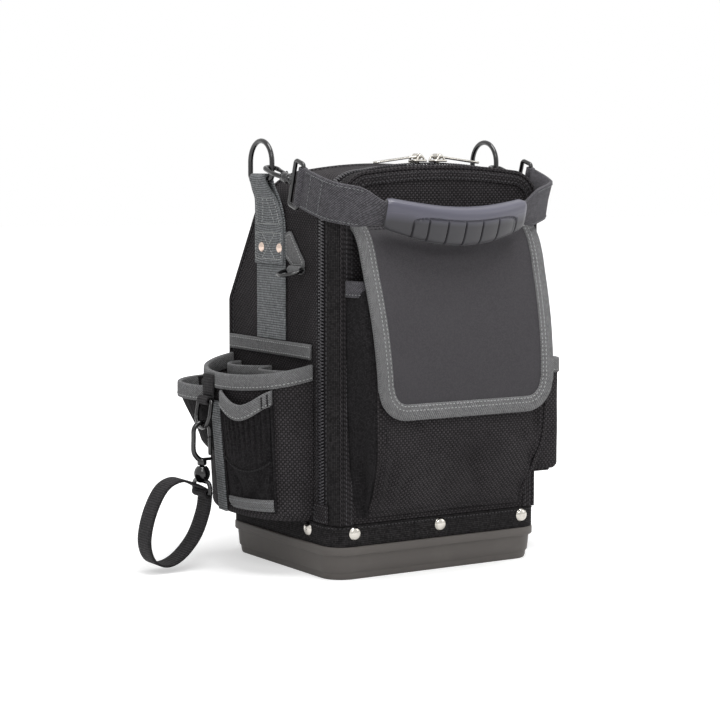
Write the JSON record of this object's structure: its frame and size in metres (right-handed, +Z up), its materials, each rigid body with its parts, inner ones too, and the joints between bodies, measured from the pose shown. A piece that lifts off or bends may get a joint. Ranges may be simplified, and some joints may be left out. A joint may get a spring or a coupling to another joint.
{
  "type": "zippered tool bag",
  "caption": "Upright fabric tool bag on a moulded base, with a zipped fold-down front, flap pocket, side pouches, rings and a carry handle.",
  "frame": {"origin": "centre of the moulded base's underside", "axes": "+Z up, front with the flap pocket towards -Y, +X to the right seen from the front"},
  "size_m": [0.3997, 0.2402, 0.3919],
  "materials": {
    "black_nylon": "woven ballistic nylon, matt",
    "black_webbing": "woven webbing",
    "grey_webbing": "woven webbing and binding with pale stitching",
    "flap_fabric": "coated fabric, smooth and satin",
    "grip_rubber": "moulded rubber, satin",
    "base_moulding": "moulded, satin",
    "zip_coil": "glossy coil",
    "nickel": "polished nickel",
    "strap_rivet_metal": "polished, slightly coppery",
    "black_metal": "gloss black"
  },
  "bodies": {
    "bag": {"base_tray": "base_moulding", "lower_band": "black_nylon", "rivet_front_left": "nickel", "rivet_front_centre": "nickel", "rivet_front_right": "nickel", "rivet_back_left": "nickel", "rivet_back_centre": "nickel", "rivet_back_right": "nickel", "rivet_side_left": "nickel", "rivet_side_right": "nickel", "body_gusset": "black_nylon", "back_panel": "black_nylon", "inner_pocket": "black_nylon", "zip_chain_rear": "zip_coil", "side_strap_left": "grey_webbing", "side_strap_right": "grey_webbing", "rivet_strap_left_front": "strap_rivet_metal", "rivet_strap_left_rear": "strap_rivet_metal", "rivet_strap_right_front": "strap_rivet_metal", "rivet_strap_right_rear": "strap_rivet_metal", "band_left": "grey_webbing", "band_right": "grey_webbing", "strap_tab": "grey_webbing", "left_pouch": "black_nylon", "left_pouch_binding": "grey_webbing", "pouch_dividers": "black_nylon", "elastic_pocket": "black_nylon", "elastic_pocket_binding": "grey_webbing", "rear_pocket": "black_nylon", "rear_pocket_binding": "grey_webbing", "pouch_webbing": "grey_webbing", "right_pocket": "black_nylon", "right_pocket_binding": "grey_webbing", "thong_tab": "black_webbing"},
    "front_door": {"front_panel": "black_nylon", "front_gusset": "black_nylon", "zip_chain_front": "zip_coil", "front_pocket": "black_nylon", "front_pocket_binding": "grey_webbing", "flap_shelf": "flap_fabric"},
    "flap": {"pocket_flap": "flap_fabric", "flap_binding": "grey_webbing"},
    "handle": {"handle_webbing": "grey_webbing", "handle_grip": "grip_rubber", "handle_hook_left": "black_metal", "handle_hook_right": "black_metal"},
    "gate_left": {"gate_left": "black_metal"},
    "gate_right": {"gate_right": "black_metal"},
    "d_ring_left": {"d_ring_left": "black_metal"},
    "d_ring_right": {"d_ring_right": "black_metal"},
    "small_ring": {"small_d_ring": "black_metal"},
    "slider_left": {"slider_left": "nickel"},
    "slider_right": {"slider_right": "nickel"},
    "pull_left": {"pull_left": "nickel"},
    "pull_right": {"pull_right": "nickel"},
    "thong_ring": {"thong_ring": "black_metal"},
    "thong_hook": {"thong_hook": "black_metal"},
    "thong_gate": {"thong_gate": "black_metal"},
    "thong_strap": {"thong_swivel": "black_metal", "thong_webbing": "black_webbing"}
  },
  "joints": [
    {"name": "front_panel_open", "type": "hinge", "parent": "bag", "child": "front_door", "pos_m": [0, -0.0975, 0.0503], "axis": [1, 0, 0], "range_deg": [0, 43]},
    {"name": "flap_lift", "type": "hinge", "parent": "front_door", "child": "flap", "pos_m": [0, -0.11719, 0.28532], "axis": [-1, 0, 0], "range_deg": [0, 75]},
    {"name": "handle_swing", "type": "hinge", "parent": "bag", "child": "handle", "pos_m": [0, 0.012, 0.37], "axis": [-1, 0, 0], "range_deg": [0, 224]},
    {"name": "gate_left_open", "type": "hinge", "parent": "handle", "child": "gate_left", "pos_m": [-0.1185, -0.02386, 0.35904], "axis": [0, -0.2924, 0.9563], "range_deg": [0, 20], "stiffness_Nm_per_rad": 0.02, "springref_deg": -11.46},
    {"name": "gate_right_open", "type": "hinge", "parent": "handle", "child": "gate_right", "pos_m": [0.1185, -0.02386, 0.35904], "axis": [0, 0.2924, -0.9563], "range_deg": [0, 20], "stiffness_Nm_per_rad": 0.02, "springref_deg": -11.46},
    {"name": "d_ring_left_tilt", "type": "hinge", "parent": "bag", "child": "d_ring_left", "pos_m": [-0.1248, 0.012, 0.3555], "axis": [0, 1, 0], "range_deg": [-6, 6]},
    {"name": "d_ring_right_tilt", "type": "hinge", "parent": "bag", "child": "d_ring_right", "pos_m": [0.1248, 0.012, 0.3555], "axis": [0, 1, 0], "range_deg": [-6, 6]},
    {"name": "small_ring_swing", "type": "hinge", "parent": "bag", "child": "small_ring", "pos_m": [-0.117, -0.036, 0.2744], "axis": [0, 1, 0], "range_deg": [-65, 60]},
    {"name": "slider_left_slide", "type": "slide", "parent": "bag", "child": "slider_left", "axis": [-1, 0, 0], "range_m": [0, 0.045]},
    {"name": "slider_right_slide", "type": "slide", "parent": "bag", "child": "slider_right", "axis": [1, 0, 0], "range_m": [0, 0.045]},
    {"name": "pull_left_lift", "type": "hinge", "parent": "slider_left", "child": "pull_left", "pos_m": [-0.011, -0.0717, 0.3758], "axis": [0, 1, 0], "range_deg": [0, 90]},
    {"name": "pull_right_lift", "type": "hinge", "parent": "slider_right", "child": "pull_right", "pos_m": [0.011, -0.0717, 0.3758], "axis": [0, -1, 0], "range_deg": [0, 90]},
    {"name": "thong_ring_swing", "type": "hinge", "parent": "bag", "child": "thong_ring", "pos_m": [-0.1732, 0.031, 0.154], "axis": [0, 1, 0], "range_deg": [0, 50]},
    {"name": "thong_hook_swing", "type": "hinge", "parent": "thong_ring", "child": "thong_hook", "pos_m": [-0.17711, 0.031, 0.12931], "axis": [0, 1, 0], "range_deg": [0, 25]},
    {"name": "thong_gate_open", "type": "hinge", "parent": "thong_hook", "child": "thong_gate", "pos_m": [-0.16861, 0.031, 0.10571], "axis": [0, -1, 0], "range_deg": [0, 20], "stiffness_Nm_per_rad": 0.02, "springref_deg": -11.46},
    {"name": "thong_swivel_turn", "type": "hinge", "parent": "thong_hook", "child": "thong_strap", "pos_m": [-0.17711, 0.031, 0.09], "axis": [0, 0, 1], "range_deg": [-50, 50]}
  ],
  "couplings": [
    {"joint": "handle_swing", "follows": "front_panel_open", "ratio": 5.2}
  ]
}
